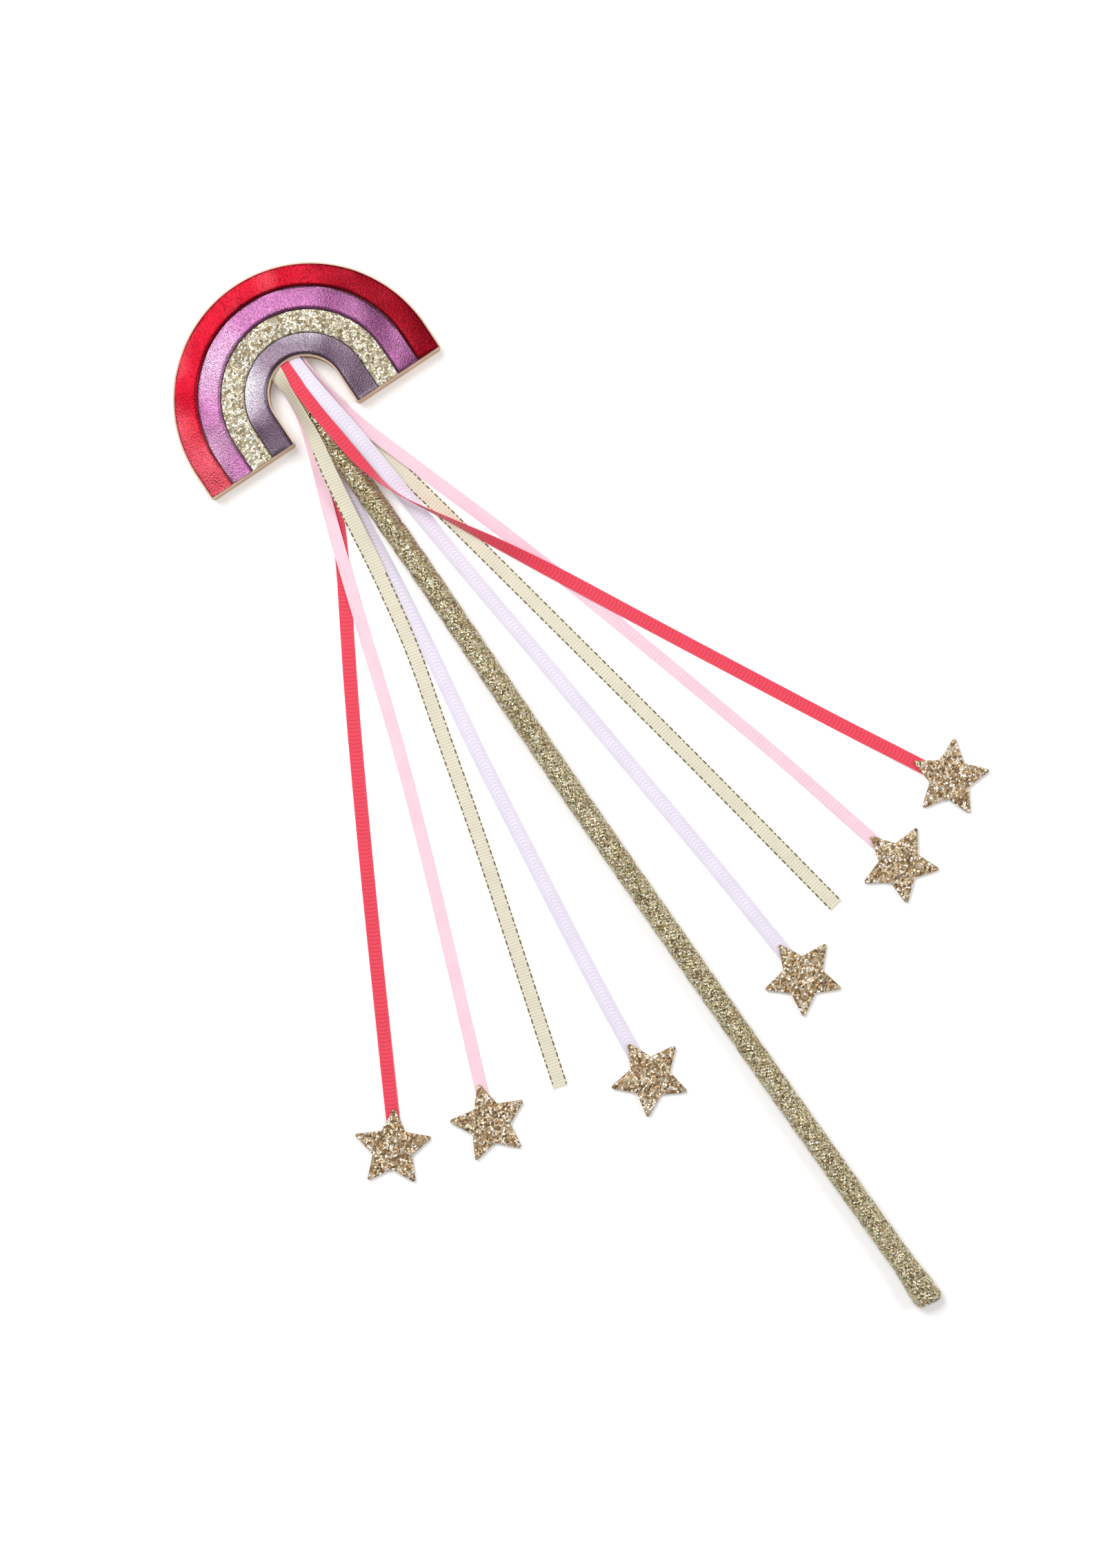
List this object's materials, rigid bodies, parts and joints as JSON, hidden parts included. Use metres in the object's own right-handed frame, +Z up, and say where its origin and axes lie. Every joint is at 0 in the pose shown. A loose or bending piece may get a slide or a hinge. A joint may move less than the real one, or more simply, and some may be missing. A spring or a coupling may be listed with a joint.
{
  "type": "rainbow ribbon wand",
  "caption": "Child's wand: a wrapped stick with a padded rainbow at the top and loose ribbon tails that end in glitter stars.",
  "frame": {"origin": "on the surface the wand lies on, under the middle of the box of the stick and rainbow", "axes": "+Y along the stick from the grip end to the rainbow, +X to the right seen from above, +Z up out of the rainbow's face"},
  "size_m": [0.2261, 0.3744, 0.0096],
  "materials": {
    "dowel_wood": "plain",
    "wrap_glitter": "glitter",
    "tan_leatherette": "satin",
    "cream_foam": "matte",
    "crimson_leatherette": "metallic satin",
    "orchid_leatherette": "metallic satin",
    "band_glitter": "glitter",
    "plum_leatherette": "metallic satin",
    "red_grosgrain": "ribbed",
    "pink_satin": "satin",
    "cream_stitched": "woven",
    "lilac_grosgrain": "ribbed",
    "star_glitter": "glitter"
  },
  "bodies": {
    "wand": {"stick_core": "dowel_wood", "stick_wrap": "wrap_glitter", "wrap_end_fold": "wrap_glitter", "back_panel": "tan_leatherette", "foam_pad": "cream_foam", "front_base": "tan_leatherette", "band_red": "crimson_leatherette", "band_magenta": "orchid_leatherette", "band_gold": "band_glitter", "band_purple": "plum_leatherette", "ribbon_red_left_upper": "red_grosgrain", "ribbon_pink_left_upper": "pink_satin", "ribbon_cream_left_upper": "cream_stitched", "ribbon_lilac_left_upper": "lilac_grosgrain", "ribbon_lilac_right_upper": "lilac_grosgrain", "ribbon_cream_right_upper": "cream_stitched", "ribbon_pink_right_upper": "pink_satin", "ribbon_red_right_upper": "red_grosgrain"},
    "tail_red_left": {"ribbon_red_left_tail": "red_grosgrain"},
    "tail_pink_left": {"ribbon_pink_left_tail": "pink_satin"},
    "tail_cream_left": {"ribbon_cream_left_tail": "cream_stitched"},
    "tail_lilac_left": {"ribbon_lilac_left_tail": "lilac_grosgrain"},
    "tail_lilac_right": {"ribbon_lilac_right_tail": "lilac_grosgrain"},
    "tail_cream_right": {"ribbon_cream_right_tail": "cream_stitched"},
    "tail_pink_right": {"ribbon_pink_right_tail": "pink_satin"},
    "tail_red_right": {"ribbon_red_right_tail": "red_grosgrain"},
    "star_red_left": {"ribbon_red_left_tab": "red_grosgrain", "star_red_left_back": "star_glitter", "star_red_left_front": "star_glitter"},
    "star_pink_left": {"ribbon_pink_left_tab": "pink_satin", "star_pink_left_back": "star_glitter", "star_pink_left_front": "star_glitter"},
    "star_lilac_left": {"ribbon_lilac_left_tab": "lilac_grosgrain", "star_lilac_left_back": "star_glitter", "star_lilac_left_front": "star_glitter"},
    "star_lilac_right": {"ribbon_lilac_right_tab": "lilac_grosgrain", "star_lilac_right_back": "star_glitter", "star_lilac_right_front": "star_glitter"},
    "star_pink_right": {"ribbon_pink_right_tab": "pink_satin", "star_pink_right_back": "star_glitter", "star_pink_right_front": "star_glitter"},
    "star_red_right": {"ribbon_red_right_tab": "red_grosgrain", "star_red_right_back": "star_glitter", "star_red_right_front": "star_glitter"}
  },
  "joints": [
    {"name": "bend_red_left", "type": "hinge", "parent": "wand", "child": "tail_red_left", "pos_m": [-0.0728, 0.01, 0.00015], "axis": [-1, 0, 0], "range_deg": [0, 90]},
    {"name": "bend_pink_left", "type": "hinge", "parent": "wand", "child": "tail_pink_left", "pos_m": [-0.0512, 0.01, 0.00015], "axis": [-1, 0, 0], "range_deg": [0, 90]},
    {"name": "bend_cream_left", "type": "hinge", "parent": "wand", "child": "tail_cream_left", "pos_m": [-0.03335, 0.01, 0.00015], "axis": [-1, 0, 0], "range_deg": [0, 90]},
    {"name": "bend_lilac_left", "type": "hinge", "parent": "wand", "child": "tail_lilac_left", "pos_m": [-0.02226, 0.01, 0.00015], "axis": [-1, 0, 0], "range_deg": [0, 90]},
    {"name": "bend_lilac_right", "type": "hinge", "parent": "wand", "child": "tail_lilac_right", "pos_m": [0.01534, 0.01, 0.00015], "axis": [-1, 0, 0], "range_deg": [0, 90]},
    {"name": "bend_cream_right", "type": "hinge", "parent": "wand", "child": "tail_cream_right", "pos_m": [0.02932, 0.01, 0.00015], "axis": [-1, 0, 0], "range_deg": [0, 90]},
    {"name": "bend_pink_right", "type": "hinge", "parent": "wand", "child": "tail_pink_right", "pos_m": [0.04553, 0.01, 0.00015], "axis": [-1, 0, 0], "range_deg": [0, 90]},
    {"name": "bend_red_right", "type": "hinge", "parent": "wand", "child": "tail_red_right", "pos_m": [0.05678, 0.01, 0.00015], "axis": [-1, 0, 0], "range_deg": [0, 90]},
    {"name": "swing_red_left", "type": "hinge", "parent": "tail_red_left", "child": "star_red_left", "pos_m": [-0.10256, -0.04415, 0.00085], "axis": [-0.8785, 0.4778, 0], "range_deg": [0, 80]},
    {"name": "swing_pink_left", "type": "hinge", "parent": "tail_pink_left", "child": "star_pink_left", "pos_m": [-0.07572, -0.05179, 0.00085], "axis": [-0.9295, 0.3687, 0], "range_deg": [0, 80]},
    {"name": "swing_lilac_left", "type": "hinge", "parent": "tail_lilac_left", "child": "star_lilac_left", "pos_m": [-0.0323, -0.06824, 0.00085], "axis": [-0.995, 0.1003, 0], "range_deg": [0, 80]},
    {"name": "swing_lilac_right", "type": "hinge", "parent": "tail_lilac_right", "child": "star_lilac_right", "pos_m": [0.02196, -0.06952, 0.00085], "axis": [-0.9971, -0.0767, 0], "range_deg": [0, 80]},
    {"name": "swing_pink_right", "type": "hinge", "parent": "tail_pink_right", "child": "star_pink_right", "pos_m": [0.06343, -0.0591, 0.00085], "axis": [-0.971, -0.2389, 0], "range_deg": [0, 80]},
    {"name": "swing_red_right", "type": "hinge", "parent": "tail_red_right", "child": "star_red_right", "pos_m": [0.08702, -0.04772, 0.00085], "axis": [-0.8834, -0.4686, 0], "range_deg": [0, 80]}
  ]
}
